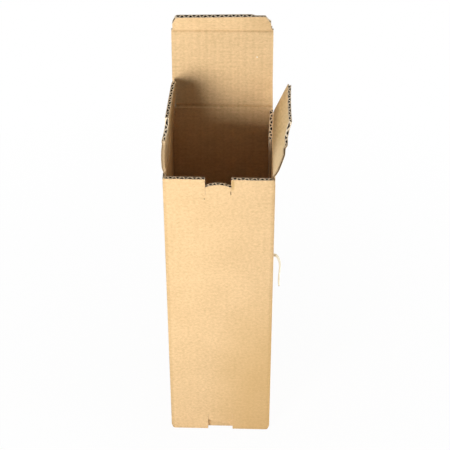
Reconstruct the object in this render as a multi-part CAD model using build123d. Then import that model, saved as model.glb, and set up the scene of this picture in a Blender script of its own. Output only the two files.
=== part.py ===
from build123d import *
from math import cos, floor, radians, sin, sqrt
import os

# A tall shipping box for one tall item, folded from a single sheet of brown fluted board.
# It stands open: lid up, tuck flap bent forward, one side flap upright and one leaning out.
# Millimetres and degrees. Z is up, the front looks along -Y, and the origin is the middle of the base.

# Overall sizes
outer_width = 90.0
outer_depth = 90.0
closed_height = 325.0

# The board: two flat papers with a wavy one between them
board = 3.0
liner = 0.3
medium = 0.3
flute_pitch = 6.4
flute_crown = 0.9
flute_blind_end = 4.0

# Folds and the room that folded boards leave each other
crease_gap = 0.3
layer_gap = 0.3
lid_side_gap = 0.4
tuck_gap = 0.5
fold_radius = 2.2
foot_corner_radius = 3.0

# Lid and tuck flap, the same at the top and at the bottom
lid_lean = 2.5
tuck_bend = 15.0
tuck_length = 20.0
tuck_side_step = 1.1
tuck_corner_across = 5.0
tuck_corner_along = 9.5
tuck_corner_radius = 2.5

# Side flaps that close under the lid
left_flap_lean = 1.0
right_flap_lean = 23.0
dust_length = 33.0
dust_back_gap = 2.0
dust_front_gap = 4.5
dust_nose = 10.5
dust_nose_root = 6.5
dust_hook = 4.0
dust_shoulder = 14.0
dust_shoulder_start = 28.0
dust_shoulder_end = 22.5
dust_step_run = 1.0

# Glue flap along the back right corner
glue_flap_width = 30.0
glue_flap_taper = 6.0

# Notches in the front wall, each a rounded tongue between two slits
notch_width = 21.0
notch_rise = 3.0
thumb_notch_depth = 6.0
foot_notch_depth = 10.0
slit_reach = 8.0
slit_width = 0.5

# Narrow strip of tape that hangs out of the right wall
strip_thickness = 1.0
strip_width = 3.0
strip_exit_height = 186.0
strip_stand_off = 6.0
strip_bend_radius = 4.5
strip_drop = 38.0
strip_bow = 0.6

# Planes and levels that follow from these
half_board = board / 2
half_width = outer_width / 2
half_depth = outer_depth / 2
bead_step = board + crease_gap
lid_crease_z = closed_height - half_board
lid_crease_y = half_depth - half_board
dust_crease_z = closed_height - board - layer_gap - half_board
dust_crease_x = half_width - half_board
dust_layer_top = board + layer_gap + board
side_wall_top = dust_crease_z - bead_step
back_wall_top = lid_crease_z - bead_step
front_wall_top = dust_crease_z
lid_half_width = half_width - board - lid_side_gap
tuck_half_width = lid_half_width - tuck_side_step
tuck_plane_y = -half_depth + board + tuck_gap + half_board
lid_length = lid_crease_y - tuck_plane_y
dust_back = half_depth - board - dust_back_gap
dust_front = tuck_plane_y + half_board + dust_front_gap


def flute_cells(first, last, start, stop):
    """Open cells of the wavy core between X first and last, running along Y from start to stop.

    The board lies in the XY plane. Cells turn up and down in turn, each half a pitch from the last,
    and the wavy paper is what is left between them.
    """
    wide = half_board - liner
    narrow = wide - medium
    slope = sqrt((flute_pitch / 2 - flute_crown) ** 2 + (2 * wide - medium) ** 2)
    web = medium * slope / (2 * wide - medium)
    mouth = flute_pitch - flute_crown - web
    crest = flute_crown - web + medium
    count = floor((last - first - mouth) / (flute_pitch / 2)) + 1
    middle = (first + last) / 2
    cells = []
    for index in range(count):
        x = middle + (index - (count - 1) / 2) * flute_pitch / 2
        side = 1 if index % 2 == 0 else -1
        corners = [
            (x - mouth / 2, start, side * wide),
            (x + mouth / 2, start, side * wide),
            (x + crest / 2, start, -side * narrow),
            (x - crest / 2, start, -side * narrow),
        ]
        cells.append(extrude(make_face(Polyline(*corners, close=True)), amount=stop - start, dir=(0, 1, 0)))
    return cells


def bead(first, last, y):
    """Rounded board edge beside a crease, along X at height y of a board lying in the XY plane."""
    roll = Cylinder(half_board, last - first, rotation=(0, 90, 0))
    return Pos((first + last) / 2, y, 0) * roll


def panel(outline):
    """A board lying in the XY plane, cut to the outline."""
    return extrude(outline, amount=half_board, both=True)


def notch(depth):
    """Notch that opens towards +Y at Y 0, with a rounded tongue of board standing up in its floor."""
    floor_edge = -depth - notch_rise
    arc = SagittaArc((-notch_width / 2, floor_edge), (notch_width / 2, floor_edge), notch_rise)
    frame = Polyline(arc @ 1, (notch_width / 2, board), (-notch_width / 2, board), arc @ 0)
    opening = make_face(Curve() + [arc, frame])
    for side in (-1, 1):
        slit = Rectangle(slit_width, slit_reach + slit_width, align=(Align.CENTER, Align.MAX))
        opening += Pos(side * (notch_width - slit_width) / 2, floor_edge + slit_width) * slit
    return opening


def dust_outline():
    """Side flap seen flat: X runs along the crease towards the back, Y away from it."""
    hook = dust_front + dust_nose
    step = hook + dust_shoulder
    points = [
        (dust_back, 0),
        (dust_back, dust_length),
        (step, dust_length),
        (step - dust_step_run, dust_shoulder_start),
        (hook, dust_shoulder_end),
        (hook, dust_shoulder_end - dust_hook),
        (dust_front, dust_nose_root),
        (dust_front, 0),
    ]
    return make_face(Polyline(*points, close=True))


def dust_cells():
    """Flutes that show along the free edge and the shoulder of a side flap."""
    hook = dust_front + dust_nose
    return flute_cells(hook + liner, dust_back - liner, flute_blind_end, dust_length + board)


def tuck_outline():
    """Tuck flap seen flat: X runs along its crease, Y away from it, with both corners taken off."""
    shoulder = tuck_length - tuck_corner_along
    end = tuck_half_width - tuck_corner_across
    points = [
        (-tuck_half_width, 0),
        (-tuck_half_width, shoulder),
        (-end, tuck_length),
        (end, tuck_length),
        (tuck_half_width, shoulder),
        (tuck_half_width, 0),
    ]
    outline = make_face(Polyline(*points, close=True))
    corners = [v for v in outline.vertices() if v.Y > half_board]
    return fillet(corners, radius=tuck_corner_radius)


def tuck_cells():
    """Flutes that show along the end of a tuck flap."""
    end = tuck_half_width - tuck_corner_across
    return flute_cells(-end, end, flute_blind_end, tuck_length + board)


def wall_plan():
    """The four walls seen from above, with the corner where the glue flap turns in."""
    outside = Rectangle(outer_width, outer_depth)
    folded = [v for v in outside.vertices() if v.X < 0 or v.Y < 0]
    outside = fillet(folded, radius=fold_radius)
    inside = Rectangle(outer_width - 2 * board, outer_depth - 2 * board)
    turn_x = half_width - board - fold_radius
    turn_y = half_depth - fold_radius
    groove = Rectangle(fold_radius, fold_radius, align=(Align.MIN, Align.MIN)) - Circle(fold_radius)
    return outside - inside - Pos(turn_x, turn_y) * groove


def front_strip():
    """The part of the plan that the front wall fills."""
    strip = Rectangle(outer_width, board, align=(Align.CENTER, Align.MIN))
    return Pos(0, -half_depth) * strip


def front_wall():
    """Front wall with open flutes at both cut edges and a notch in each."""
    elevation = Rectangle(outer_width, front_wall_top, align=(Align.CENTER, Align.MIN))
    feet = [v for v in elevation.vertices() if v.Y < half_board]
    elevation = fillet(feet, radius=foot_corner_radius)
    elevation -= Pos(0, front_wall_top) * notch(thumb_notch_depth)
    elevation -= Rot(0, 0, 180) * notch(foot_notch_depth)
    sheet = panel(elevation)
    inner = half_width - board
    for cell in flute_cells(-inner, inner, -board, front_wall_top + board):
        sheet -= cell
    face = Plane((0, -half_depth + half_board, 0), x_dir=(1, 0, 0), z_dir=(0, -1, 0))
    return (face * sheet) & extrude(wall_plan() & front_strip(), amount=front_wall_top)


def side_and_back_walls():
    """Left, right and back walls, with rounded top edges where the flaps are creased."""
    plan = wall_plan() - front_strip()
    back_span = Rectangle(outer_width - 2 * board, board, align=(Align.CENTER, Align.MAX))
    walls = Pos(0, 0, dust_layer_top) * extrude(plan, amount=side_wall_top - dust_layer_top)
    back_part = plan & (Pos(0, half_depth) * back_span)
    walls += Pos(0, 0, board) * extrude(back_part, amount=back_wall_top - board)
    inner = half_width - board
    for side, rear in ((-1, half_depth - board), (1, half_depth)):
        edge = Plane((side * dust_crease_x, 0, side_wall_top), x_dir=(0, 1, 0), z_dir=(1, 0, 0))
        walls += edge * bead(-half_depth + board, rear, 0)
    rear_edge = Plane((0, lid_crease_y, back_wall_top), x_dir=(1, 0, 0), z_dir=(0, -1, 0))
    return walls + rear_edge * bead(-inner, inner, 0)


def glue_flap():
    """Narrow flap of the back wall, glued flat inside the right wall, with tapered ends."""
    root = half_depth - board
    end = root - glue_flap_width
    low = dust_layer_top + layer_gap
    high = side_wall_top + half_board
    points = [
        (root, low),
        (root, high),
        (end, high - glue_flap_taper),
        (end, low + glue_flap_taper),
    ]
    flap = panel(make_face(Polyline(*points, close=True)))
    for cell in flute_cells(end, root, low - board, high + board):
        flap -= cell
    return Plane((half_width - board - half_board, 0, 0), x_dir=(0, 1, 0), z_dir=(1, 0, 0)) * flap


def corner_fold(first, last):
    """A square bend in the board, along X: a quarter round with its inner edge at the origin."""
    quarter = Circle(board) & Rectangle(board, board, align=(Align.MAX, Align.MAX))
    bend = Plane.YZ * extrude(quarter, amount=last - first)
    return Pos(first, 0, 0) * bend


def bottom_closure():
    """Bottom side flaps folded in, with the bottom lid under them and its tuck flap behind the front wall."""
    inner_y = half_depth - board
    tuck_inner = tuck_plane_y + half_board
    lid_span = Rectangle(2 * lid_half_width, inner_y - tuck_inner, align=(Align.CENTER, Align.MIN))
    closure = extrude(Pos(0, tuck_inner) * lid_span, amount=board)
    closure += Pos(0, inner_y, board) * Rot(0, 0, 180) * corner_fold(-lid_half_width, lid_half_width)
    closure += Pos(0, tuck_inner, board) * corner_fold(-tuck_half_width, tuck_half_width)
    upright = Plane((0, tuck_plane_y, half_board), x_dir=(1, 0, 0), z_dir=(0, -1, 0))
    above_fold = Rectangle(outer_width, tuck_length, align=(Align.CENTER, Align.MIN))
    closure += upright * panel(tuck_outline() & Pos(0, half_board) * above_fold)
    inside_fold = Rectangle(outer_depth, dust_length, align=(Align.CENTER, Align.MIN))
    flat = Plane((dust_crease_x, 0, dust_layer_top - half_board), x_dir=(0, 1, 0), z_dir=(0, 0, 1))
    leaf = flat * panel(dust_outline() & Pos(0, half_board) * inside_fold)
    leaf += Pos(half_width - board, 0, dust_layer_top) * Rot(0, 0, 90) * corner_fold(dust_front, dust_back)
    return closure + leaf + mirror(leaf, about=Plane.YZ)


def box_body():
    """Everything of the sheet that stays put: walls, glue flap and the closed bottom."""
    return front_wall() + side_and_back_walls() + glue_flap() + bottom_closure()


def lid_panel():
    """Lid, standing nearly upright from the back wall."""
    far_edge = lid_length - bead_step
    sheet = panel(Rectangle(2 * lid_half_width, far_edge, align=(Align.CENTER, Align.MIN)))
    sheet += bead(-lid_half_width, lid_half_width, 0)
    sheet += bead(-lid_half_width, lid_half_width, far_edge)
    return lid_plane() * sheet


def lid_plane():
    """Plane of the lid at rest: origin in its crease, Y up the lid, Z towards the front."""
    lean = radians(lid_lean)
    return Plane((0, lid_crease_y, lid_crease_z), x_dir=(1, 0, 0), z_dir=(0, -cos(lean), -sin(lean)))


def tuck_flap():
    """Tuck flap at the far edge of the lid, bent a little towards the front."""
    sheet = panel(tuck_outline()) + bead(-tuck_half_width, tuck_half_width, 0)
    for cell in tuck_cells():
        sheet -= cell
    bend = radians(lid_lean + tuck_bend)
    crease = lid_plane().from_local_coords(Vector(0, lid_length, 0))
    return Plane(crease, x_dir=(1, 0, 0), z_dir=(0, -cos(bend), -sin(bend))) * sheet


def dust_flap(side, lean):
    """Side flap hinged on the left (-1) or right (1) wall, leaning outwards from upright."""
    sheet = panel(dust_outline()) + bead(dust_front, dust_back, 0)
    for cell in dust_cells():
        sheet -= cell
    tilt = radians(lean)
    crease = (side * dust_crease_x, 0, dust_crease_z)
    return Plane(crease, x_dir=(0, 1, 0), z_dir=(cos(tilt), 0, -side * sin(tilt))) * sheet


def pull_strip():
    """Narrow strip of tape that comes out of the right wall and hangs beside it."""
    top = strip_exit_height
    out = half_width + strip_stand_off
    route = FilletPolyline(
        (half_width, top),
        (out, top),
        (out - strip_bow, top - strip_drop / 2),
        (out, top - strip_drop),
        radius=strip_bend_radius,
    )
    ribbon = trace(route, line_width=strip_thickness)
    ribbon -= Pos(half_width, top) * Rectangle(strip_thickness, 2 * strip_bend_radius, align=(Align.MAX, Align.CENTER))
    return Plane.XZ * extrude(ribbon, amount=strip_width / 2, both=True)


parts = {
    "box_body": box_body(),
    "lid_panel": lid_panel(),
    "tuck_flap": tuck_flap(),
    "left_dust_flap": dust_flap(-1, left_flap_lean),
    "right_dust_flap": dust_flap(1, right_flap_lean),
    "pull_strip": pull_strip(),
}

os.makedirs("parts", exist_ok=True)
for name, shape in parts.items():
    export_step(shape, f"parts/{name}.step")
    print(f"{name}: {len(shape.solids())} solid, {shape.volume:.0f} mm3")
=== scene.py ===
# %% [markdown]
# # An open shipping box of brown fluted board
#
# The real box is one sheet of board, folded up. Two flat papers, the liners, are glued to a wavy
# paper between them. Wherever the sheet is cut, the waves show as a row of small dark cells, and
# wherever it is creased, the board is crushed thin so that it can bend. Those two things make
# cardboard look like cardboard, so this lesson builds the sheet itself: it cuts each part of the flat
# blank, folds its middle surface into place, and lets Geometry Nodes grow the three papers on it.
#
# The frame comes first: the imported part with its moving bodies, which every piece below follows,
# apart from the strips across the creases.

# %% Load the frame
from math import cos, pi, radians, sin, sqrt

import bmesh
import bpy
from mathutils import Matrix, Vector


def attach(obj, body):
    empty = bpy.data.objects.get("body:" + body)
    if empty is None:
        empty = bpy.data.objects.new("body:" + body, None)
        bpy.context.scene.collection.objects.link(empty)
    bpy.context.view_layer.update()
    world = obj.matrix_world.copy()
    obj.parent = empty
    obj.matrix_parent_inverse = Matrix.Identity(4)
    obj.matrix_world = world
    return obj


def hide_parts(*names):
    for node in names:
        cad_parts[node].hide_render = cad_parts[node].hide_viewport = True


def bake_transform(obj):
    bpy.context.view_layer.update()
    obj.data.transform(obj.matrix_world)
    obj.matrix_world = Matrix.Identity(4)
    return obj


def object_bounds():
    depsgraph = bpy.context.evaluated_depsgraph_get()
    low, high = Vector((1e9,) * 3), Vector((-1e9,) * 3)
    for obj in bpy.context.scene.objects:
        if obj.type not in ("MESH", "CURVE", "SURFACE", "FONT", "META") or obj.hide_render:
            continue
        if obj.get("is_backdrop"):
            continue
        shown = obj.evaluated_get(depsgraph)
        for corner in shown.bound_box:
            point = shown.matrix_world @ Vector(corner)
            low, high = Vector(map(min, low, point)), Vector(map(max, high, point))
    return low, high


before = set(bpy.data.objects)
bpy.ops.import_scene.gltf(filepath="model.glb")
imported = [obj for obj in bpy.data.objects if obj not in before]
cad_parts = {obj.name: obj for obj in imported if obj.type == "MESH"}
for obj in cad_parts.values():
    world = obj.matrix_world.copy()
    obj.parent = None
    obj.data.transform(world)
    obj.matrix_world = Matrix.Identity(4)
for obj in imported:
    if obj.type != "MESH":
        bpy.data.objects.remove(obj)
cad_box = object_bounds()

mm = 0.001

# %% [markdown]
# ## The camera
#
# A long lens from high in front keeps the upright edges of a tall box nearly parallel. The place and
# the tilt were fitted to the corners of the box in the photograph, so the camera is set by numbers
# and isn't aimed by eye.

# %% Camera
def add_object(name, data):
    """A new object in the scene."""
    made = bpy.data.objects.new(name, data)
    bpy.context.scene.collection.objects.link(made)
    return made


looks_down = 45.534
looks_left = 1.469
lens = bpy.data.cameras.new("camera")
lens.sensor_width = 36
lens.lens = 153.93
camera = add_object("camera", lens)
camera.location = (32.756 * mm, -1155.13 * mm, 1399.927 * mm)
camera.rotation_euler = (radians(90 - looks_down), 0, radians(looks_left))
lens.clip_start = 0.1
lens.clip_end = 50
bpy.context.scene.camera = camera
bpy.context.scene.view_settings.view_transform = "Standard"
print("camera at", [round(value, 3) for value in camera.location])

# %% [markdown]
# ## Wires and nodes
#
# A node tree is a sum written with boxes. This small class lets a script write the same sum as a
# Python expression: each operator adds one Math node. Everything that isn't arithmetic comes from
# the method `node`, which takes a node's type, its settings, and the values or links of its sockets.

# %% A class for node sums
class Wire:
    """One output socket of a node tree, which can be used in sums."""

    def __init__(self, socket):
        self.socket = socket
        self.tree = socket.id_data

    @staticmethod
    def node(tree, kind, settings=None, sockets=None):
        """A new node, with its settings made before its sockets are filled."""
        made = tree.nodes.new(kind)
        for name, value in (settings or {}).items():
            setattr(made, name, value)
        for name, value in (sockets or {}).items():
            if isinstance(value, Wire):
                tree.links.new(value.socket, made.inputs[name])
            else:
                made.inputs[name].default_value = value
        return made

    def math(self, operation, other=None, turned=False):
        """One Math node on this wire, or on this and another. turned swaps the two."""
        values = [self] if other is None else [self, other]
        if turned:
            values.reverse()
        made = Wire.node(self.tree, "ShaderNodeMath", {"operation": operation}, dict(enumerate(values)))
        return Wire(made.outputs[0])

    def __add__(self, other):
        return self.math("ADD", other)

    __radd__ = __add__

    def __sub__(self, other):
        return self.math("SUBTRACT", other)

    def __rsub__(self, other):
        return self.math("SUBTRACT", other, turned=True)

    def __mul__(self, other):
        return self.math("MULTIPLY", other)

    __rmul__ = __mul__

    def __truediv__(self, other):
        return self.math("DIVIDE", other)

    def __pow__(self, other):
        return self.math("POWER", other)

    def sine(self):
        return self.math("SINE")

    def above(self, level):
        """1 where this is more than the level, and 0 elsewhere."""
        return self.math("GREATER_THAN", level)

    def clamp(self):
        """This, held between 0 and 1."""
        made = Wire.node(self.tree, "ShaderNodeClamp", {}, {"Value": self})
        return Wire(made.outputs[0])

    def vector_math(self, operation, sockets, out=0):
        """One Vector Math node on this wire, which carries a vector."""
        sockets = {0: self, **sockets}
        made = Wire.node(self.tree, "ShaderNodeVectorMath", {"operation": operation}, sockets)
        return Wire(made.outputs[out])

    def length(self):
        return self.vector_math("LENGTH", {}, "Value")

    def moved(self, step):
        return self.vector_math("ADD", {1: step})

    def scaled(self, factor):
        return self.vector_math("SCALE", {"Scale": factor})

    def stretched(self, factors):
        """Each part of this vector times its own number."""
        return self.vector_math("MULTIPLY", {1: factors})


print("operators ready")

# %% [markdown]
# ## The flat blank
#
# Every point of the sheet has one address in the flat blank. Its first number, `across`, runs
# round the walls, over the flutes, and its second is the height that it would have if nothing were
# folded. The address drives everything later: the waves, the fibres of the paper and the wear. So the
# pattern runs on over a fold from one piece to the next, as it does on a real sheet.
#
# The tube of walls is a path seen from above: glue flap, back, left, front and right wall, with a
# small round bend at each corner. A short class follows such a path by its length.

# %% Sizes of the board and the box
board = 3.0 * mm
half_board = board / 2
liner = 0.5 * mm
cell_share = 0.88
flute_pitch = 6.4 * mm
box_half = 45 * mm
wall_plane = box_half - half_board
corner_radius = 0.7 * mm
foot_radius = 0.5 * mm
glue_flap_from = 12 * mm
right_wall_to = 39.5 * mm


def quarter(radius):
    """Length of a quarter turn."""
    return radius * pi / 2


class Track:
    """A flat path of runs, each a (length, turn in degrees to the left), followed by its length."""

    def __init__(self, start, heading, runs):
        self.runs = []
        self.starts = []
        x, y = start
        angle = radians(heading)
        begin = 0.0
        for length, turn in runs:
            bend = radians(turn) / length
            self.runs.append((begin, x, y, angle, bend))
            self.starts.append(begin)
            x, y, angle = self.move(x, y, angle, bend, length)
            begin += length
        self.length = begin

    @staticmethod
    def move(x, y, angle, bend, length):
        """Point and heading after a run of this length, which is straight or part of a circle."""
        if not bend:
            return x + cos(angle) * length, y + sin(angle) * length, angle
        after = angle + bend * length
        return x + (sin(after) - sin(angle)) / bend, y - (cos(after) - cos(angle)) / bend, after

    def at(self, length):
        """Point and heading at a length. Past the end the last run goes on."""
        found = self.runs[0]
        for run in self.runs:
            if length >= run[0]:
                found = run
        begin, x, y, angle, bend = found
        return self.move(x, y, angle, bend, length - begin)


corner = (quarter(corner_radius), 90)
flat = wall_plane * 2 - corner_radius * 2
glue_plane = wall_plane - board
tube = Track(
    (glue_plane, glue_flap_from),
    90,
    [
        (wall_plane - corner_radius - glue_flap_from, 0),
        corner,
        (wall_plane + glue_plane - corner_radius * 2, 0),
        corner,
        (flat, 0),
        corner,
        (flat, 0),
        corner,
        (wall_plane - corner_radius + right_wall_to, 0),
    ],
)
corners = [tube.starts[index] + corner[0] / 2 for index in (1, 3, 5, 7)]
print("the blank is", round(tube.length / mm, 1), "mm across")

# %% Addresses on the four walls
near_corner = wall_plane - corner_radius


def on_back(x):
    return tube.starts[2] + glue_plane - corner_radius - x


def on_left(y):
    return tube.starts[4] + near_corner - y


def on_front(x):
    return tube.starts[6] + near_corner + x


def on_right(y):
    return tube.starts[8] + near_corner + y


lid_crease = 323.5 * mm
side_crease = 320.2 * mm
lid_length = 83.5 * mm
fold_reach = 2.2 * mm
fold_foot = 5.0 * mm
print("the middle of the front wall is at", round(on_front(0) / mm, 1), "mm")

# %% [markdown]
# ## Cutting a part out of the sheet
#
# A part is given by its lower and its upper edge, each a list of points from left to right. Where the
# edge steps, as at a notch, two points share one address. The part is divided into columns, sixteen
# to a flute, and each column is one face from edge to edge. Level cuts follow, one through each step
# and some where the sheet bends or is crushed. So neighbouring columns share their points, and
# nothing cracks.

# %% Cut a part
column_width = flute_pitch / 16
narrowest = 0.004 * mm
touching = 0.002 * mm
same_place = 1e-7


def smooth(share):
    """Share from 0 to 1 that starts and ends gently."""
    share = min(max(share, 0.0), 1.0)
    return share * share * (3 - 2 * share)


def level(edge, left, right):
    """Heights of an edge at both sides of a column that has no step inside it."""
    middle = (left + right) / 2
    for (a, low), (b, high) in zip(edge, edge[1:]):
        if a <= middle <= b and b > a:
            slope = (high - low) / (b - a)
            return low + slope * (left - a), low + slope * (right - a)
    raise ValueError(f"the edge has no height at {middle / mm:.2f} mm")


def steps(edge):
    """Heights where an edge steps up or down."""
    return [point[1] for a, b in zip(edge, edge[1:]) if b[0] - a[0] < same_place for point in (a, b)]


def cut(lower, upper, levels=(), fine=()):
    """The part between two edges, as a flat bmesh. fine lists (from, to, width) of narrow columns."""
    first, last = upper[0][0], upper[-1][0]
    marks = {point[0] for point in lower + upper}
    marks |= {first + column_width * index for index in range(int((last - first) / column_width) + 1)}
    for start, end, width in fine:
        count = round((end - start) / width)
        marks |= {start + (end - start) * index / count for index in range(count + 1)}
    marks = sorted(mark for mark in marks if first <= mark <= last)
    lines = [marks[0]]
    for mark in marks[1:]:
        if mark - lines[-1] > narrowest:
            lines.append(mark)
    sheet = bmesh.new()
    for left, right in zip(lines, lines[1:]):
        low_left, low_right = level(lower, left, right)
        high_left, high_right = level(upper, left, right)
        points = [(left, low_left), (right, low_right), (right, high_right), (left, high_left)]
        sheet.faces.new([sheet.verts.new((*point, 0)) for point in points])
    for height in sorted({round(value, 7) for value in [*levels, *steps(lower), *steps(upper)]}):
        everything = sheet.verts[:] + sheet.edges[:] + sheet.faces[:]
        plane = {"plane_co": (0, height, 0), "plane_no": (0, 1, 0)}
        bmesh.ops.bisect_plane(sheet, geom=everything, dist=same_place, **plane)
    bmesh.ops.remove_doubles(sheet, verts=sheet.verts, dist=touching)
    return sheet


def spread(first, last, count):
    """Evenly spaced numbers, both ends included."""
    return [first + (last - first) * index / (count - 1) for index in range(count)]


print("columns of", round(column_width / mm, 3), "mm")

# %% [markdown]
# ## Growing the three papers
#
# The waves repeat across the whole box, so a Geometry Nodes tree makes them. It takes the middle
# surface of a part and moves it outwards along its normals for the outer liner and inwards for the
# inner liner. The wavy paper fills the gap between them, apart from a rounded cell on each side in turn.
# Each surface is extruded to its thickness and closed underneath. The part carries the room for each
# liner as attributes, so at a crease the same tree gives crushed board.
#
# The papers are drawn thicker than real ones, because a knife squeezes the board as it cuts it, and the
# cells that stay open look small and separate. The tree also marks the faces: 1 on a cut edge, which is
# pale and rough, and -1 where a face looks into a cell. No light reaches there, and the material paints
# those faces near-black as painted shade.
#
# Real liners sink a little between the crests that they are glued to. This is why cardboard
# catches the light in faint stripes, and it is one more sine here.

# %% The fluted board tree
liner_sink = 0.03 * mm
cell_sharpness = 1.5
weld_distance = 1e-6
board_inputs = [
    ("Middle", "Geometry", None),
    ("Pitch", "Float", flute_pitch),
    ("Liner", "Float", liner),
    ("Cell share", "Float", cell_share),
    ("Sink", "Float", liner_sink),
    ("Liner paper", "Material", None),
    ("Core paper", "Material", None),
]


def build_board_tree():
    """Tree that turns the middle surface of a part into two liners and a wavy paper."""
    tree = bpy.data.node_groups.new("fluted_board", "GeometryNodeTree")
    for name, kind, value in board_inputs:
        socket = tree.interface.new_socket(name=name, in_out="INPUT", socket_type="NodeSocket" + kind)
        if value is not None:
            socket.default_value = value
    tree.interface.new_socket(name="Board", in_out="OUTPUT", socket_type="NodeSocketGeometry")
    group_inputs = Wire.node(tree, "NodeGroupInput").outputs
    given = {socket.name: Wire(socket) for socket in group_inputs if socket.name}

    def add(kind, settings=None, sockets=None, out=0):
        return Wire(Wire.node(tree, kind, settings, sockets).outputs[out])

    def attribute(name, kind="FLOAT"):
        return add("GeometryNodeInputNamedAttribute", {"data_type": kind}, {"Name": name})

    def mark(geometry, name, value, kind="FLOAT", domain="FACE"):
        settings = {"data_type": kind, "domain": domain}
        return add("GeometryNodeStoreNamedAttribute", settings, {0: geometry, "Name": name, "Value": value})

    def joined(parts):
        join = Wire.node(tree, "GeometryNodeJoinGeometry")
        for part in parts:
            tree.links.new(part.socket, join.inputs[0])
        return Wire(join.outputs[0])

    middle = mark(given["Middle"], "up", add("GeometryNodeInputNormal"), "FLOAT_VECTOR", "POINT")
    up = attribute("up", "FLOAT_VECTOR")
    wave = (attribute("across") / given["Pitch"] * (2 * pi)).sine()
    outward = attribute("room_out") - (1 - wave) * 0.5 * given["Sink"]
    inward = attribute("room_in") - (1 + wave) * 0.5 * given["Sink"]
    gap = outward + inward - given["Liner"] * 2
    open_gap = gap * given["Cell share"] * (1 - attribute("smear"))
    cell_in = open_gap * wave.clamp() ** cell_sharpness
    cell_out = open_gap * (wave * -1).clamp() ** cell_sharpness + gap * attribute("gape")

    def paper(offset, thickness, material, top, bottom, inside):
        """One paper: the middle surface moved by offset, extruded and closed.

        top and bottom are the marks of its two sides. inside is 1 for the liner that faces into the box.
        """
        moved = add("GeometryNodeSetPosition", {}, {0: middle, "Offset": up.scaled(offset)})
        sockets = {0: moved, "Offset": up, "Offset Scale": thickness, "Individual": False}
        solid = Wire.node(tree, "GeometryNodeExtrudeMesh", {"mode": "FACES"}, sockets)
        kind = Wire(solid.outputs["Side"]) + Wire(solid.outputs["Top"]) * top
        raised = mark(Wire(solid.outputs["Mesh"]), "face_kind", kind)
        under = mark(add("GeometryNodeFlipFaces", {}, {0: moved}), "face_kind", bottom)
        both = joined([raised, under])
        closed = add("GeometryNodeMergeByDistance", {}, {0: both, "Distance": weld_distance})
        closed = mark(closed, "inside", inside)
        return add("GeometryNodeSetMaterial", {}, {0: closed, "Material": material})

    core_foot = given["Liner"] - inward + cell_in
    core_height = gap - cell_in - cell_out
    papers = [
        paper(outward - given["Liner"], given["Liner"], given["Liner paper"], 0.0, -1.0, 0.0),
        paper(inward * -1.0, given["Liner"], given["Liner paper"], -1.0, 0.0, 1.0),
        paper(core_foot, core_height, given["Core paper"], -1.0, -1.0, 0.0),
    ]
    real = add("GeometryNodeRealizeInstances", {}, {0: joined(papers)})
    Wire.node(tree, "NodeGroupOutput", {}, {0: real})
    return tree


board_tree = build_board_tree()
print("tree:", len(board_tree.nodes), "nodes")

# %% [markdown]
# ## Kraft paper
#
# The liners are unbleached kraft paper. From near they show long pale and dark fibres, mostly lying
# across the flutes because that is how the paper machine laid them, with cloudy patches where the pulp
# was thicker and a few dark flecks. The inner liner is thinner, so the waves and the machine's lines
# show through it, and the side flaps have the soft slanting wrinkles of board that was bent by hand.
# The wrinkles are bumps, and their light and dark bands are also painted into the colour as painted
# shade; the inside of the side flaps is painted a shade darker all over.
# The finish is matt. Everything reads the address in the flat blank, so no fibre changes direction
# where the sheet is folded.
#
# A few soft marks lie over that, each an ellipse round an address, and nearly all are painted light:
# painted shade in the slits, in the slit that the tape comes out of and in a dent beside the top notch,
# painted shade low on the right of the front and at the right end of the tuck flap, a greenish painted
# reflection on the right flap, and on the inside of the side flaps painted shade near the back and
# painted highlights towards their free edges. One small near-white dot sits on the lid.

# %% Helpers for materials
def new_material(name):
    """A material with its tree and its shader."""
    made = bpy.data.materials.new(name)
    made.use_nodes = True
    return made, made.node_tree, made.node_tree.nodes["Principled BSDF"]


def noise(tree, place, scale, detail=2.0, roughness=0.5):
    """Cloudy pattern from 0 to 1."""
    sockets = {"Vector": place, "Scale": scale, "Detail": detail, "Roughness": roughness}
    return Wire(Wire.node(tree, "ShaderNodeTexNoise", {}, sockets).outputs["Fac"])


def blend_colour(tree, share, first, second):
    """Colour between two, by a share from 0 to 1."""
    made = Wire.node(tree, "ShaderNodeMix", {"data_type": "RGBA"}, {0: share, 6: first, 7: second})
    return Wire(made.outputs[2])


def read_attribute(tree, name, out):
    """What a mesh stores under a name, as its output Fac or Vector."""
    return Wire(Wire.node(tree, "ShaderNodeAttribute", {"attribute_name": name}).outputs[out])


def add_bump(tree, shader, strength, depth, height):
    """Fine relief of a surface, from a height between 0 and 1 or so."""
    sockets = {"Strength": strength, "Distance": depth, "Height": height}
    bump = Wire(Wire.node(tree, "ShaderNodeBump", {}, sockets).outputs[0])
    tree.links.new(bump.socket, shader.inputs["Normal"])


print("material helpers ready")

# %% Kraft liner material
cut_paper = (0.95, 0.79, 0.58, 1)
# Dark brown painted shade for the groove along a smeared cut.
painted_groove_shade = (0.40, 0.26, 0.13, 1)
# Near-black painted shade for faces that look into a cell, where no light reaches.
painted_cell_shade = (0.02, 0.012, 0.008, 1)


def spot(place, centre, radii):
    """Mark from 0 to 1 with a soft rim, an ellipse round an address in the blank."""
    x, y = centre
    return (1.5 - place.moved((-x, -y, 0)).stretched((1 / radii[0], 1 / radii[1], 1)).length()).clamp()


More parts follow.
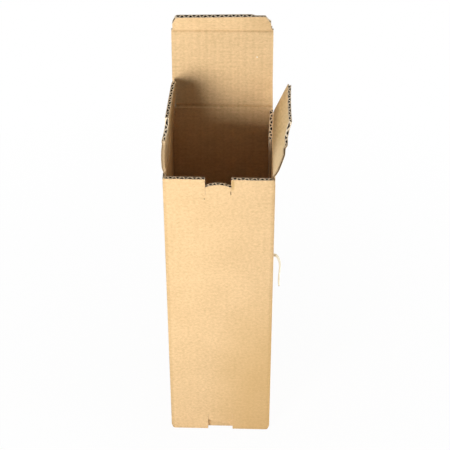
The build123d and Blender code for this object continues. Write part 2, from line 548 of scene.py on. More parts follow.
def kraft(name, pale, dark, fibre_depth, marks=(), flap_marks=()):
    """Matt brown paper between a pale and a dark brown.

    marks lists (centre, radii, strength, colour). The last argument does the same for painted light and
    shade that lie on the inside of the side flaps alone.
    """
    made, tree, shader = new_material(name)
    place = read_attribute(tree, "blank", "Vector")

    def streaks(wide, high, detail, roughness=0.5, at=place):
        """Pattern drawn out over the sheet. wide and high say how often it changes in a metre."""
        return noise(tree, at.stretched((wide, high, 900.0)), 1.0, detail, roughness)

    cloud = noise(tree, place, 28.0, 3.0)
    floc = noise(tree, place, 420.0, 3.0, 0.6)
    fibres = streaks(380.0, 3200.0, 4.0, 0.65)
    crossed = streaks(2600.0, 700.0, 3.0, 0.6)
    fleck = streaks(700.0, 1500.0, 2.0).above(0.735) * 0.35
    across = read_attribute(tree, "across", "Fac")
    stripe = (across * (2 * pi / flute_pitch)).sine()
    narrow_stripe = (across * (4 * pi / flute_pitch)).sine()
    crush = read_attribute(tree, "crush", "Fac")
    kind = read_attribute(tree, "face_kind", "Fac")
    inside = read_attribute(tree, "inside", "Fac")
    lines = streaks(70.0, 420.0, 2.0) - 0.5
    turn = Wire.node(tree, "ShaderNodeMapping", {}, {"Vector": place, "Rotation": (0, 0, radians(38))})
    wrinkle = streaks(120.0, 420.0, 2.0, 0.6, at=Wire(turn.outputs[0])) - 0.5
    parts = Wire.node(tree, "ShaderNodeSeparateXYZ", {}, {0: place}).outputs
    past_crease = Wire(parts["Y"]) - side_crease
    flap_inside = across.above(corners[1]) * inside
    on_flaps = (past_crease / (4 * mm)).clamp() * flap_inside
    # Each weight says how much a layer darkens the paper.
    tone = 0.35 + (cloud - 0.5) * 0.45 + (floc - 0.5) * 1.1 + (fibres - 0.5) * 1.2 + (crossed - 0.5) * 0.6
    tone = tone + stripe * 0.015 + crush * 0.3 + fleck + lines * (inside * 0.35 + 0.15)
    # On the inside of the side flaps, the 0.12 is painted shade all over, and the wrinkle's bands are
    # painted shade.
    tone = tone + inside * (stripe * 0.03 + narrow_stripe * 0.03) + on_flaps * (0.12 + wrinkle * 1.3)
    colour = blend_colour(tree, tone.clamp(), (*pale, 1), (*dark, 1))
    for centre, radii, strength, shade in marks:
        colour = blend_colour(tree, spot(place, centre, radii) * strength, colour, shade)
    # Painted light and shade that lie on the inside of the side flaps.
    for centre, radii, strength, shade in flap_marks:
        share = spot(place, centre, radii) * (past_crease / (1.5 * mm)).clamp() * flap_inside * strength
        colour = blend_colour(tree, share, colour, shade)
    smear = read_attribute(tree, "smear", "Fac")
    # Cut edges are pale, less so where a cut was smeared; there they are painted dark brown instead, as
    # painted shade of the groove along the cut.
    colour = blend_colour(tree, kind.clamp() * (0.9 - smear * 0.75), colour, cut_paper)
    colour = blend_colour(tree, kind.clamp() * smear * 0.55, colour, painted_groove_shade)
    # Faces that look into a cell get near-black painted shade.
    colour = blend_colour(tree, (kind * -1).clamp() * 0.96, colour, painted_cell_shade)
    tree.links.new(colour.socket, shader.inputs["Base Color"])
    height = fibres * 0.6 + crossed * 0.25 + floc * 0.4 + on_flaps * wrinkle * 2.0
    add_bump(tree, shader, 0.5, fibre_depth, height)
    rough = 0.86 + (fibres - 0.5) * 0.16
    tree.links.new(rough.socket, shader.inputs["Roughness"])
    shader.inputs["Specular IOR Level"].default_value = 0.22
    return made


# Dark brown painted shade for the inside of narrow gaps.
painted_gap_shade = (0.16, 0.085, 0.035, 1)
# Marks in the blank. Nearly all are painted light or shade, as said beside each; the last is a small
# near-white dot on the lid.
marks_and_painted_light = [
    # Painted shade where the light falls off, low on the right of the front.
    ((on_front(43 * mm), 36 * mm), (38 * mm, 112 * mm), 0.44, (0.60, 0.36, 0.11, 1)),
    # Painted shade: a dark dot below the end of the left slit.
    ((on_front(-11.7 * mm), 298.3 * mm), (0.5 * mm, 0.6 * mm), 0.85, painted_gap_shade),
    # Painted shade in the right slit.
    ((on_front(9.5 * mm), 305.2 * mm), (0.4 * mm, 2.0 * mm), 0.95, painted_gap_shade),
    # Painted shade of a dent beside the top notch.
    ((on_front(11.2 * mm), 315 * mm), (1.1 * mm, 6.0 * mm), 0.7, (0.52, 0.33, 0.11, 1)),
    # Painted shade in the slit that the tape comes out of.
    ((on_right(0), 186 * mm), (1.6 * mm, 0.6 * mm), 0.9, painted_gap_shade),
    # Greenish painted reflection on the right flap.
    ((on_right(-2 * mm), side_crease + 20 * mm), (42 * mm, 15 * mm), 0.3, (0.47, 0.40, 0.15, 1)),
    # Painted shade where the light falls off, at the right end of the tuck flap.
    ((on_back(36 * mm), lid_crease + 96 * mm), (16 * mm, 12 * mm), 0.3, (0.55, 0.36, 0.16, 1)),
    ((on_back(28.5 * mm), lid_crease + 55.2 * mm), (0.5 * mm, 0.6 * mm), 1.0, (1.0, 0.97, 0.90, 1)),
]
# Pale painted highlight.
painted_highlight = (1.0, 0.80, 0.50, 1)
# Painted light on the inside of the side flaps: painted shade near the back of the right flap, and painted
# highlights towards the flaps' free edges.
flap_marks = [
    ((on_right(30 * mm), side_crease - 2 * mm), (36 * mm, 13 * mm), 0.55, (0.22, 0.14, 0.05, 1)),
    ((on_right(-34 * mm), side_crease + 10 * mm), (22 * mm, 16 * mm), 0.6, painted_highlight),
    ((on_right(-4 * mm), side_crease + 34 * mm), (34 * mm, 13 * mm), 0.35, painted_highlight),
    ((on_left(0), side_crease + 33 * mm), (52 * mm, 17 * mm), 0.5, painted_highlight),
]
liner_browns = (0.90, 0.63, 0.345), (0.58, 0.38, 0.175)
fluting_browns = (0.74, 0.52, 0.28), (0.44, 0.29, 0.14)
kraft_liner = kraft("kraft_liner", *liner_browns, 0.03 * mm, marks_and_painted_light, flap_marks)
fluting_paper = kraft("fluting_paper", *fluting_browns, 0.05 * mm)
print("materials:", kraft_liner.name, fluting_paper.name)

# %% [markdown]
# ## From cut part to finished board
#
# `make_board` does the folding. It gives each point of a cut part its place in space, stores the
# addresses and the crushing near each crease as attributes, runs the tree and keeps the plain mesh.
#
# Two habits of a used box are built in here. `settle` takes the top a little out of square, and
# `smear_at` knows the three short cuts that were pressed rather than cut: there the board is thinner
# and the cells are smeared shut. The material paints their cut edges dark brown, as painted shade of
# the dark groove along them.

# %% Meshes and trees
def mesh_from(name, sheet):
    """The mesh of a bmesh, which is used up."""
    mesh = bpy.data.meshes.new(name)
    sheet.to_mesh(mesh)
    sheet.free()
    return mesh


def run_tree(start, tree, inputs, name):
    """The plain mesh object that a Geometry Nodes tree makes from a start object."""
    modifier = start.modifiers.new("board", "NODES")
    modifier.node_group = tree
    for item in tree.interface.items_tree:
        if item.item_type == "SOCKET" and item.in_out == "INPUT" and item.name in inputs:
            modifier[item.identifier] = inputs[item.name]
    view = bpy.context.evaluated_depsgraph_get()
    view.update()
    mesh = bpy.data.meshes.new_from_object(start.evaluated_get(view))
    mesh.name = name
    start.modifiers.clear()
    bpy.data.objects.remove(start)
    return add_object(name, mesh)


print("mesh helpers ready")

# %% The wear of a used box
front_lean = 1.4 * mm
back_lean = 1.5 * mm
lean_height = 320 * mm
dent_depth = 2.0 * mm
spring_out = 0.4 * mm


def ramp(value, start, length):
    """0 up to a start, and from there smoothly to 1 over a length."""
    return smooth((value - start) / length)


def settle(x, y, z):
    """Where a point of the square box lies on the real one.

    At the top, the left front corner leans out to the left and the left back corner leans forwards.
    The left wall is dented near its back, and the right wall springs out there.
    """
    height = min(z / lean_height, 1.0)
    left = (wall_plane - x) / (2 * wall_plane)
    front = ramp(-y, 12 * mm, 22 * mm)
    back = ramp(y, 5 * mm, 35 * mm)
    dent = ramp(-x, 16 * mm, 26 * mm) * ramp(y, 24 * mm, 15 * mm)
    dent *= smooth(1 - abs(z - 321 * mm) / (32 * mm))
    spring = ramp(x, 36 * mm, 5 * mm) * ramp(y, 12 * mm, 26 * mm)
    spring *= smooth(1 - abs(z - 319 * mm) / (34 * mm))
    x += dent_depth * dent + spring_out * spring - front_lean * left * front * height
    y -= back_lean * left * back * height
    return x, y, z


# Centre, radii, and the share smeared shut, the depth pressed in and the width of the gape.
smeared_cuts = [
    ((on_left(-30.5 * mm), side_crease + 9 * mm), (9 * mm, 10.5 * mm), (1.0, 0.2 * mm, 0.2)),
    ((on_right(-33 * mm), side_crease + 10 * mm), (9 * mm, 11 * mm), (1.0, 0.7 * mm, 0.5)),
    ((on_back(33 * mm), lid_crease + lid_length + 20 * mm), (5 * mm, 6 * mm), (0.2, 1.2 * mm, 0.0)),
]


def smear_at(u, v):
    """The last three numbers of the smeared cut at an address, fading towards its rim."""
    for (x, y), (wide, high), pressed in smeared_cuts:
        amount = min(max(2 - sqrt(((u - x) / wide) ** 2 + ((v - y) / high) ** 2), 0.0), 1.0)
        if amount:
            return [smooth(amount) * part for part in pressed]
    return 0.0, 0.0, 0.0


print("the left front corner leans", round(front_lean / mm, 1), "mm at the top")

# %% Make board
def swell(distance, reach):
    """1 on a line, falling smoothly to 0 at the reach."""
    share = min(abs(distance) / reach, 1.0)
    return (1 - share * share) ** 2


def make_board(name, sheet, place, creases=(), crossings=()):
    """Fluted board from a cut part.

    creases lie level and crossings upright. Both list (where, reach, depth inside, depth outside).
    """
    mesh = mesh_from(name, sheet)
    rows = []
    blank = []
    for vertex in mesh.vertices:
        u, v, _ = vertex.co
        inner = 0.0
        smear, outer, gape = smear_at(u, v)
        for value, lines in ((u, crossings), (v, creases)):
            for where, reach, deep_in, deep_out in lines:
                amount = swell(value - where, reach)
                inner += deep_in * amount
                outer += deep_out * amount
        # Real flutes wander a little from an even pitch.
        wander = 0.35 * mm * sin(u / mm * 0.21) + 0.22 * mm * sin(u / mm * 0.77 + 1.3)
        crush = max(inner, 0.0) / mm
        rows.append((u + wander, half_board - outer, half_board - inner, crush, smear, gape))
        blank.extend((u, v, 0.0))
        vertex.co = settle(*place(u, v))
    for key, values in zip(("across", "room_out", "room_in", "crush", "smear", "gape"), zip(*rows)):
        mesh.attributes.new(key, "FLOAT", "POINT").data.foreach_set("value", list(values))
    mesh.attributes.new("blank", "FLOAT_VECTOR", "POINT").data.foreach_set("vector", blank)
    start = add_object(name, mesh)
    inputs = {"Liner paper": kraft_liner, "Core paper": fluting_paper}
    made = run_tree(start, board_tree, inputs, name)
    made.data.shade_smooth()
    made.data.set_sharp_from_angle(angle=radians(35))
    print(f"{name}: {len(made.data.polygons)} faces")
    return made


print("ready to make board", round(board / mm, 1), "mm thick")

# %% [markdown]
# ## The walls
#
# Walls and glue flap are one strip. The front wall has a notch at the top and at the bottom, each a
# rounded tongue between two slits that let a finger in, and its two feet are rounded. The vertical
# creases are crushed from the inside, so the inner corners have a groove.

# %% Notches
notch_half = 10.5 * mm
tongue_rise = 3.0 * mm
tongue_radius = (notch_half**2 + tongue_rise**2) / (2 * tongue_rise)
top_notch_centre = -0.6 * mm
top_notch_depth = 6 * mm
top_slit_end = 303.2 * mm
bottom_notch_half = 11.2 * mm
bottom_notch_depth = 10 * mm
bottom_slit_end = 21 * mm
slit_width = 0.16 * mm


def notch_edge(edge, side, depth, slit_end, centre, half):
    """Edge of the front wall across a notch. side is 1 at the bottom edge and -1 at the top."""
    inner_half = half - slit_width
    tongue = []
    for x in spread(-inner_half, inner_half, 25):
        drop = tongue_radius - sqrt(tongue_radius**2 - x**2)
        tongue.append((on_front(centre + x), edge + side * (depth + drop)))
    sides = []
    for mirror in (-1, 1):
        outside = on_front(centre + mirror * half)
        inside = on_front(centre + mirror * inner_half)
        slit = [(outside, edge), (outside, slit_end), (inside, slit_end)]
        sides.append(slit if mirror < 0 else slit[::-1])
    return sides[0] + tongue + sides[1]


print("radius of the tongues:", round(tongue_radius / mm, 1), "mm")

# %% Edges of the walls
front_top = 320.2 * mm
cut_top = 318.6 * mm
back_top = lid_crease - fold_foot
side_top = side_crease - fold_foot
lid_half = 41.6 * mm
flap_back = {"left": 38.5 * mm, "right": 37.3 * mm}
flap_front = {"left": -36.5 * mm, "right": -40.2 * mm}
side_foot = 5.3 * mm
back_foot = 2.0 * mm
corner_foot = 3.2 * mm
front_foot = 0.3 * mm
foot_rise = 3 * mm
glue_top = 312.4 * mm
glue_foot = 12.6 * mm
glue_step_foot = 7.2 * mm
back_right_top = 318.4 * mm
back_left_top = 319.6 * mm


def flap_ends(side, address):
    """Addresses of both ends of a side flap's crease."""
    return sorted([address(flap_back[side]), address(flap_front[side])])


def level_edge(first, last, height):
    """Edge at one height."""
    return [(min(first, last), height), (max(first, last), height)]


def wall_edges():
    """Lower and upper edge of the strip of walls."""
    glue, back_right, left_back, left_front, right_front = 0.0, *corners
    lid_from = on_back(-lid_half)
    left_from, left_to = flap_ends("left", on_left)
    right_from, right_to = flap_ends("right", on_right)
    top_notch = notch_edge(front_top, -1, top_notch_depth, top_slit_end, top_notch_centre, notch_half)
    upper = [
        (glue, glue_top),
        (back_right, back_right_top),
        *level_edge(back_right, lid_from, back_top),
        *level_edge(lid_from, left_back, back_left_top),
        *level_edge(left_back, left_from, cut_top),
        *level_edge(left_from, left_to, side_top),
        *level_edge(left_to, left_front, cut_top),
        (left_front, front_top),
        *top_notch,
        (right_front, front_top),
        *level_edge(right_front, right_from, cut_top),
        *level_edge(right_from, right_to, side_top),
        *level_edge(right_to, tube.length, cut_top),
    ]
    foot_from = near_corner - 0.4 * mm
    foot_wide = on_front(0) - left_front - foot_from
    foot = []
    for turn in spread(0, radians(90), 7):
        foot.append((foot_from + foot_wide * sin(turn), front_foot + foot_rise * (1 - cos(turn))))
    bottom_notch = notch_edge(front_foot, 1, bottom_notch_depth, bottom_slit_end, 0.0, bottom_notch_half)
    glue_step = flap_back["right"] + 0.5 * mm - glue_flap_from
    lower = [
        (glue, glue_foot),
        (glue_step, glue_step_foot),
        *level_edge(glue_step, back_right, corner_foot),
        *level_edge(back_right, left_back, back_foot),
        *level_edge(left_back, left_from, corner_foot),
        *level_edge(left_from, left_to, side_foot),
        *level_edge(left_to, left_front, corner_foot),
        *[(on_front(-along), height) for along, height in reversed(foot)],
        *bottom_notch,
        *[(on_front(along), height) for along, height in foot],
        *level_edge(right_front, right_from, corner_foot),
        *level_edge(right_from, right_to, side_foot),
        *level_edge(right_to, tube.length, corner_foot),
    ]
    return lower, upper


lower, upper = wall_edges()
print("edges:", len(lower), "and", len(upper), "points")

# %% Walls
def stand(u, v):
    """Place of a point of the walls."""
    x, y, _ = tube.at(u)
    return x, y, v


bends = [(where - corner[0] / 2, where + corner[0] / 2, corner[0] / 8) for where in corners]
pressed_to = 4.5 * mm
pressed_foot = [(0.0, pressed_to, 0.9 * mm, 0.0)]
folds = [(where, 2 * mm, 0.9 * mm, 0.15 * mm) for where in corners]
wall_part = cut(lower, upper, [pressed_to / 3, pressed_to, *spread(30 * mm, 290 * mm, 3)], bends)
walls = make_board("walls", wall_part, stand, pressed_foot, folds)
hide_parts("box_body")
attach(walls, "box")

# %% [markdown]
# ## The closed bottom
#
# Two side flaps lie folded in at the bottom, and the bottom lid lies under them with its tuck flap
# behind the front wall. Each is one more part of the blank that goes on below the walls, so its
# address goes on downwards too. A second use of the path class gives the profile of the fold.

# %% Bottom side flaps
def below(wall, start_height, runs):
    """Place of a point under a wall, folded inwards along a profile that starts at a height."""
    profile = Track((0.0, start_height), -90, runs)
    line, outward = wall

    def place(u, v):
        out, height, _ = profile.at(start_height - v)
        x, y = line(u)
        return x + outward[0] * out, y + outward[1] * out, height

    return place


left_wall = (lambda u: (-wall_plane, on_left(0) - u), (-1, 0))
right_wall = (lambda u: (wall_plane, u - on_right(0)), (1, 0))
back_wall = (lambda u: (on_back(0) - u, wall_plane), (0, 1))
foot_bend = (quarter(foot_radius), -90)


def foot_crease(bend_start, outside=0.15 * mm):
    """Crush along a bend of the bottom."""
    return bend_start - foot_bend[0] / 2, 2 * mm, 0.8 * mm, outside


side_flap_length = 33 * mm
left_shape = [(-8.7, 33.3), (-10.6, 27.8), (-24.2, 22.2), (-24.8, 18.8), (-27.6, 15.8), (-36.5, 4.2)]
right_shape = [(-8, 33.3), (-10.6, 28.3), (-15.9, 23), (-23.7, 21.6), (-24.3, 18.7)]
right_shape += [(-30.2, 16.8), (-34.4, 12), (-39, 6.8), (-40.2, 3)]
flap_shapes = {"left": left_shape, "right": right_shape}


def dust_edge(side, address, start, direction):
    """Free edge of a side flap whose crease is at the height start. Its shape is (y, length) in mm."""
    shape = [(flap_back[side] / mm, side_flap_length / mm), *flap_shapes[side]]
    edge = [(address(y * mm), start + direction * length * mm) for y, length in shape]
    return edge if edge[0][0] < edge[-1][0] else edge[::-1]


side_walls = {"left": (left_wall, on_left), "right": (right_wall, on_right)}
for side, (wall, address) in side_walls.items():
    name = f"bottom_{side}_flap"
    bend_end = side_foot - foot_bend[0]
    free = dust_edge(side, address, bend_end + half_board, -1)
    root = level_edge(*flap_ends(side, address), side_foot)
    part = cut(free, root, spread(bend_end, side_foot, 7))
    inwards = below(wall, side_foot, [foot_bend, (side_flap_length, 0)])
    flap = make_board(name, part, inwards, creases=[foot_crease(side_foot)])
    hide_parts("box_body")
    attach(flap, "box")

# %% Bottom lid and its tuck flap
def rounded(points, radii):
    """A line of points with its inner corners rounded."""
    line = [points[0]]
    for before, point, after, radius in zip(points, points[1:], points[2:], radii):
        tip = Vector(point)
        to_before = (Vector(before) - tip).normalized()
        to_after = (Vector(after) - tip).normalized()
        turn = pi - to_before.angle(to_after)
        reach = radius * sin(turn / 2) / cos(turn / 2)
        for share in spread(0, 1, 7):
            first = tip + to_before * reach * (1 - share)
            second = tip + to_after * reach * share
            line.append(tuple(first.lerp(second, share)))
    return [*line, points[-1]]


tuck_length = 20 * mm


def tuck_edge(start, direction, radii=(2.5, 2.5)):
    """Free edge of a tuck flap whose crease is at the height start. Its shape is (x, length) in mm."""
    shape = [(39.6, 10.5), (34.9, tuck_length / mm), (-37.5, tuck_length / mm), (-40.5, 10.5)]
    return [(on_back(x * mm), start + direction * length * mm) for x, length in rounded(shape, radii)]


lid_right, lid_left = on_back(lid_half), on_back(-lid_half)


def with_shoulders(edge, height):
    """An edge with a level run on both sides, out to the width of the lid."""
    first, last = edge[0][0], edge[-1][0]
    return [*level_edge(lid_right, first, height), *edge, *level_edge(last, lid_left, height)]


bottom_run = 83.5 * mm
profile = [foot_bend, (bottom_run, 0), (foot_bend[0], -94), (tuck_length, 0)]
tuck_turn = back_foot - foot_bend[0] - bottom_run
tuck_start = tuck_turn - foot_bend[0] + half_board
shoulder_step = 0.2 * mm
free = with_shoulders(tuck_edge(tuck_start, -1), tuck_turn - shoulder_step)
root = level_edge(lid_right, lid_left, back_foot)
levels = [height for bend in (back_foot, tuck_turn) for height in spread(bend - foot_bend[0], bend, 7)]
part = cut(free, root, levels)
creases = [foot_crease(back_foot), foot_crease(tuck_turn, outside=0.0)]
bottom_lid = make_board("bottom_lid", part, below(back_wall, back_foot, profile), creases)
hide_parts("box_body")
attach(bottom_lid, "box")

# %% [markdown]
# ## The four flaps at the top
#
# Lid, tuck flap and side flaps turn on joints, so each is a piece of its own on its own body. The
# board between two of them is a narrow strip of its own, crushed along its middle.

# %% How the flaps lean
soft = 1.5 * mm
lid_lean = -2.5


def lid_tilt(x, y):
    """The lid leans back evenly."""
    return lid_lean


def tuck_tilt(x, y):
    """The tuck flap is bent a little further at its left end."""
    return -15.0 + 1.7 * x / (40 * mm)


def left_tilt(x, y):
    """The left flap is twisted: it leans in at the back and out at the front. along is in mm."""
    along = y / mm + 9.5
    return 0.3 - 0.125 * along + 0.011 * min(along, 0.0) ** 2 - 0.02 * max(along - 40.0, 0.0) ** 2


def right_tilt(x, y):
    """The right flap leans out, and most at its front end. along is in mm."""
    along = y / mm + 8.5
    return 22.3 - 0.11 * max(along, 0.0) + 0.0018 * max(along, 0.0) ** 2 - 0.28 * min(along, 0.0)


side_tilt = {"left": left_tilt, "right": right_tilt}
print("the side flaps lean", [round(tilt(0, 0), 1) for tilt in side_tilt.values()], "degrees")

# %% Flaps that turn
def above(wall, crease, tilt, base=0.0, origin=None, bow=0.0, narrow=(1.0, 1.0), skew=0.0):
    """Place of a point beyond a crease, where the board turns outwards by tilt degrees.

    bow hollows the board and narrow gives its width at both ends. skew undoes the lean of the back wall
    at its left end, so that the lid still shuts flat, and takes as much off the board's length there.
    """
    line, outward = wall
    start_out, start_height = origin or (0.0, crease)

    def place(u, v):
        along = v - crease
        x, y = line(u)
        angle = radians(base + tilt(x, y) * smooth((along + soft) / (2 * soft)))
        share = min(max((along - fold_reach) / lid_length, 0.0), 1.0)
        hollow = bow * sin(pi * share) ** 2
        out = start_out + along * sin(angle) + hollow * cos(angle)
        height = start_height + along * cos(angle) - hollow * sin(angle)
        x *= narrow[0] + (narrow[1] - narrow[0]) * share
        squared = skew * (wall_plane - x) / (2 * wall_plane) * ramp(v - lid_crease, 1 * mm, 14 * mm)
        return x + outward[0] * out, y + outward[1] * out + squared, height - squared

    return place


lid_end_width = 0.988
lid_bow = -0.35 * mm
lid_narrow = (1.0, lid_end_width)
lid_place = above(back_wall, lid_crease, lid_tilt, bow=lid_bow, narrow=lid_narrow, skew=back_lean)
lid_end = lid_crease + lid_length
part = cut(
    level_edge(lid_right, lid_left, lid_crease + fold_reach),
    level_edge(lid_right, lid_left, lid_end - fold_foot),
    spread(lid_crease + 6 * mm, lid_end - 6 * mm, 12),
)
lid = make_board("lid", part, lid_place)
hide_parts("lid_panel")
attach(lid, "lid")

lean = radians(lid_lean)
tuck_origin = (lid_length * sin(lean), lid_crease + lid_length * cos(lean))
tuck_place = above(
    back_wall,
    lid_end,
    tuck_tilt,
    base=lid_lean,
    origin=tuck_origin,
    narrow=(lid_end_width, lid_end_width),
    skew=back_lean,
)
tuck_fold_reach = 3.6 * mm
tuck_foot = lid_end + tuck_fold_reach
free = tuck_edge(lid_end, 1, (1.5, 3.0))
root = level_edge(free[0][0], free[-1][0], tuck_foot)
part = cut(root, free, spread(lid_end + 6 * mm, lid_end + 18 * mm, 5))
tuck = make_board("tuck", part, tuck_place)
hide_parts("tuck_flap")
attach(tuck, "tuck")

for side, (wall, address) in side_walls.items():
    free = dust_edge(side, address, side_crease, 1)
    place = above(wall, side_crease, side_tilt[side])
    root = level_edge(*flap_ends(side, address), side_crease + fold_reach)
    part = cut(root, free, spread(side_crease + 5 * mm, side_crease + 30 * mm, 6))
    flap = make_board(f"{side}_side_flap", part, place)
    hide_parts(f"{side}_dust_flap")
    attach(flap, f"{side}_flap")

# %% Creases between them
ridge_step = 1.6 * mm


def crease_strip(name, first, last, crease, groove, place, bodies, start, end, upper=None, force=1.0):
    """Strip of board across a crease, pressed thin and bent round it.

    A broad crush, a sharp groove in it and a low ridge below it make the crease.
    """
    lower = level_edge(first, last, crease - fold_foot)
    upper = upper or level_edge(first, last, crease + fold_reach)
    part = cut(lower, upper, spread(crease - fold_foot, crease + fold_reach, 29))
    pressed = [
        (crease + groove / 2, 2.6 * mm, 0.8 * mm * force, 0.2 * mm),
        (crease + groove, 0.7 * mm, 0.4 * mm * force, 0.0),
        (crease + groove - ridge_step, 1.0 * mm, -0.22 * mm * force, 0.0),
    ]
    strip = make_board(name, part, place, creases=pressed)
    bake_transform(strip)


blend_reach = (-1.5 * mm, 1.4 * mm)
start, end = ((0, wall_plane, lid_crease + reach) for reach in blend_reach)
low_groove = -1.6 * mm
ends = (lid_right, lid_left)
crease_strip("lid_crease", *ends, lid_crease, low_groove, lid_place, ("box", "lid"), start, end)

start, end = (
    (0, wall_plane + tuck_origin[0] + reach * sin(lean), tuck_origin[1] + reach * cos(lean))
    for reach in blend_reach
)
tuck_half = 40.5 * mm
tuck_root = level_edge(on_back(tuck_half), on_back(-tuck_half), tuck_foot)
upper = with_shoulders(tuck_root, lid_end + shoulder_step)
bodies = ("lid", "tuck")
crease_strip("tuck_crease", *ends, lid_end, 0.0, tuck_place, bodies, start, end, upper, force=0.6)

for side, (wall, address) in side_walls.items():
    x = wall[1][0] * wall_plane
    start, end = ((x, 0, side_crease + reach) for reach in blend_reach)
    place = above(wall, side_crease, side_tilt[side])
    ends = flap_ends(side, address)
    bodies = ("box", f"{side}_flap")
    crease_strip(f"{side}_crease", *ends, side_crease, low_groove, place, bodies, start, end)

# %% [markdown]
# ## The strip of tape
#
# A narrow, pale strip comes out of the right wall half way up, bends over and hangs beside it. It is
# thin paper tape, a little twisted. A ribbon is simplest as mesh code: it follows a path, and its two
# edges turn slowly round that path.

# %% Tape material
def tape_paper():
    """Pale paper with threads along it."""
    made, tree, shader = new_material("tape_paper")
    place = Wire(Wire.node(tree, "ShaderNodeTexCoord").outputs["Object"])
    thread = noise(tree, place.stretched((3000.0, 3000.0, 180.0)), 1.0, 3.0, 0.6)
    cloud = noise(tree, place, 350.0, 2.0)
    tone = (0.2 + (thread - 0.5) * 0.9 + (cloud - 0.5) * 0.5).clamp()
    colour = blend_colour(tree, tone, (0.98, 0.92, 0.72, 1), (0.80, 0.66, 0.44, 1))
    tree.links.new(colour.socket, shader.inputs["Base Color"])
    add_bump(tree, shader, 0.4, 0.03 * mm, thread)
    shader.inputs["Roughness"].default_value = 0.75
    return made


tape_finish = tape_paper()
print("material:", tape_finish.name)

# %% Ribbon
def ribbon(name, route, width, thickness, twist, taper):
    """Thin strip along a path in the XZ plane. twist gives its turn at both ends, in degrees."""
    count = 48
    mesh = bmesh.new()
    rings = []
    for index in range(count + 1):
        share = index / count
        x, z, angle = route.at(route.length * share)
        normal = Vector((sin(angle), 0, -cos(angle)))
        across = Vector((0, 1, 0))
        turn = radians(twist[0] + (twist[1] - twist[0]) * smooth(share))
        side = across * cos(turn) + normal * sin(turn)
        face = normal * cos(turn) - across * sin(turn)
        half = width / 2 * (1 - taper * share**3)
        centre = Vector((x, 0, z))
        ring = []
        for step_across, step_up in ((-1, -1), (1, -1), (1, 1), (-1, 1)):
            point = centre + side * half * step_across + face * thickness / 2 * step_up
            ring.append(mesh.verts.new(point))
        rings.append(ring)
    for first, second in zip(rings, rings[1:]):
        for a, b in zip(range(4), (1, 2, 3, 0)):
            mesh.faces.new((first[a], first[b], second[b], second[a]))
    mesh.faces.new(rings[0][::-1])
    mesh.faces.new(rings[-1])
    bmesh.ops.recalc_face_normals(mesh, faces=mesh.faces)
    data = mesh_from(name, mesh)
    data.shade_smooth()
    data.set_sharp_from_angle(angle=radians(40))
    return add_object(name, data)


tape_runs = [(1.7, 0), (3.2, -55), (5.2, -18), (8, -13), (10, -3), (7.4, 5), (7.5, 6)]
tape_route = Track((44.3 * mm, 186.6 * mm), -5, [(length * mm, turn) for length, turn in tape_runs])
tape_width = 2.6 * mm
tape_thickness = 0.4 * mm
tape = ribbon("tape_strip", tape_route, tape_width, tape_thickness, twist=(-24, -34), taper=0.35)
tape.data.materials.append(tape_finish)
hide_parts("pull_strip")
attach(tape, "box")
print("tape:", round(tape_route.length / mm, 1), "mm long")

# %% [markdown]
# ## Floor, background and light
#
# The photograph was taken for a catalogue: soft light from the front, a little from the left, and a
# background that is plain white. The white comes from the floor and the world as the camera sees
# them, so it adds no light to the box. The floor still takes a faint part of its colour from the real
# light, and that part keeps the shadow. Under the box it takes all of it, so that no white shines
# through the small holes at the folded corners.

# %% Floor and world
def seen_by_camera(tree):
    """1 where the camera looks, straight or by way of something shiny or clear, and 0 for the light."""
    path = Wire.node(tree, "ShaderNodeLightPath").outputs
    names = ("Is Camera Ray", "Is Glossy Ray", "Is Transmission Ray")
    straight, mirrored, refracted = [Wire(path[name]) for name in names]
    return (straight + mirrored + refracted).clamp()


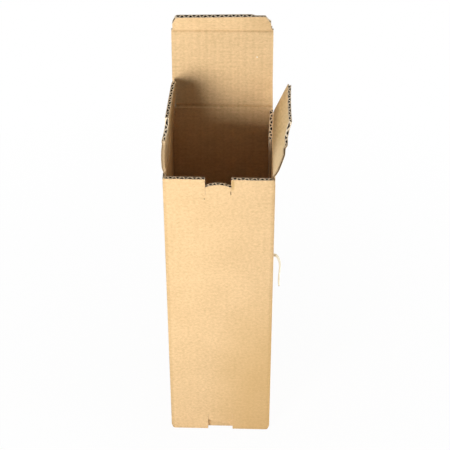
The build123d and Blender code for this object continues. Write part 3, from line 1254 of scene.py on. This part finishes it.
def paper_floor():
    """White floor. Under the box it is plain paper, without the glow."""
    made, tree, shader = new_material("studio_floor")
    shader.inputs["Base Color"].default_value = (0.88, 0.88, 0.88, 1)
    shader.inputs["Roughness"].default_value = 0.9
    glow = Wire.node(tree, "ShaderNodeEmission", {}, {"Color": (1, 1, 1, 1), "Strength": 1.0})
    place = Wire(Wire.node(tree, "ShaderNodeTexCoord").outputs["Object"])
    far = ((place.length() - 0.1) * 3.0).clamp()
    parts = Wire.node(tree, "ShaderNodeSeparateXYZ", {}, {0: place}).outputs
    x_past = Wire(parts["X"]).math("ABSOLUTE") - 43.5 * mm
    y_past = (Wire(parts["Y"]) - 1.5 * mm).math("ABSOLUTE") - 42.5 * mm
    beside_box = x_past.math("MAXIMUM", y_past).above(0.0)
    share = (seen_by_camera(tree) * (0.96 + far * 0.04)).clamp() * beside_box
    sockets = {0: share, 1: Wire(shader.outputs[0]), 2: Wire(glow.outputs[0])}
    mixed = Wire.node(tree, "ShaderNodeMixShader", {}, sockets)
    tree.links.new(mixed.outputs[0], tree.nodes["Material Output"].inputs[0])
    return made


floor_sheet = bmesh.new()
bmesh.ops.create_grid(floor_sheet, x_segments=8, y_segments=8, size=6.0)
floor = add_object("floor", mesh_from("floor", floor_sheet))
floor.location.z = -0.1 * mm
floor.data.materials.append(paper_floor())
floor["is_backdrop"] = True

world = bpy.data.worlds.new("studio")
world.use_nodes = True
bpy.context.scene.world = world
tree = world.node_tree
room_light = 0.13
strength = room_light + seen_by_camera(tree) * (1 - room_light)
background = tree.nodes["Background"]
background.inputs["Color"].default_value = (1, 1, 1, 1)
tree.links.new(strength.socket, background.inputs["Strength"])
print("room light", room_light)

# %% Lamps
def soft_lamp(name, place, aim, size, power):
    """White lamp with a flat face of this size in metres, which points at aim. power is in watts."""
    data = bpy.data.lights.new(name, "AREA")
    data.shape = "RECTANGLE"
    data.size, data.size_y = size
    data.energy = power
    lamp = add_object(name, data)
    lamp.location = place
    lamp.rotation_euler = (Vector(aim) - Vector(place)).to_track_quat("-Z", "Y").to_euler()


lamps = {
    "key": ((-0.345, -0.563, 0.31), (-0.14, 0, 0.47), (0.23, 0.31), 4.4),
    "right_fill": ((1.3, -0.16, 0.15), (0, 0, 0.15), (0.5, 0.36), 12),
    "back_fill": ((0.3, 1.4, 0.36), (0, 0, 0.25), (0.7, 0.7), 8),
    "top_fill": ((0, 0, 1.62), (0, 0, 0), (0.3, 0.3), 3),
}
for name, settings in lamps.items():
    soft_lamp(name, *settings)
print("lamps:", *lamps)

# %% [markdown]
# ## Size
#
# The visual model must keep the size of the imported part, so the script prints how far its box lies
# from the part's box.

# %% Sizes
made_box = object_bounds()
for low, high, name in zip(made_box[0] - cad_box[0], made_box[1] - cad_box[1], "XYZ"):
    print(f"{name}: {low / mm:+.2f} and {high / mm:+.2f} mm from the part's box")
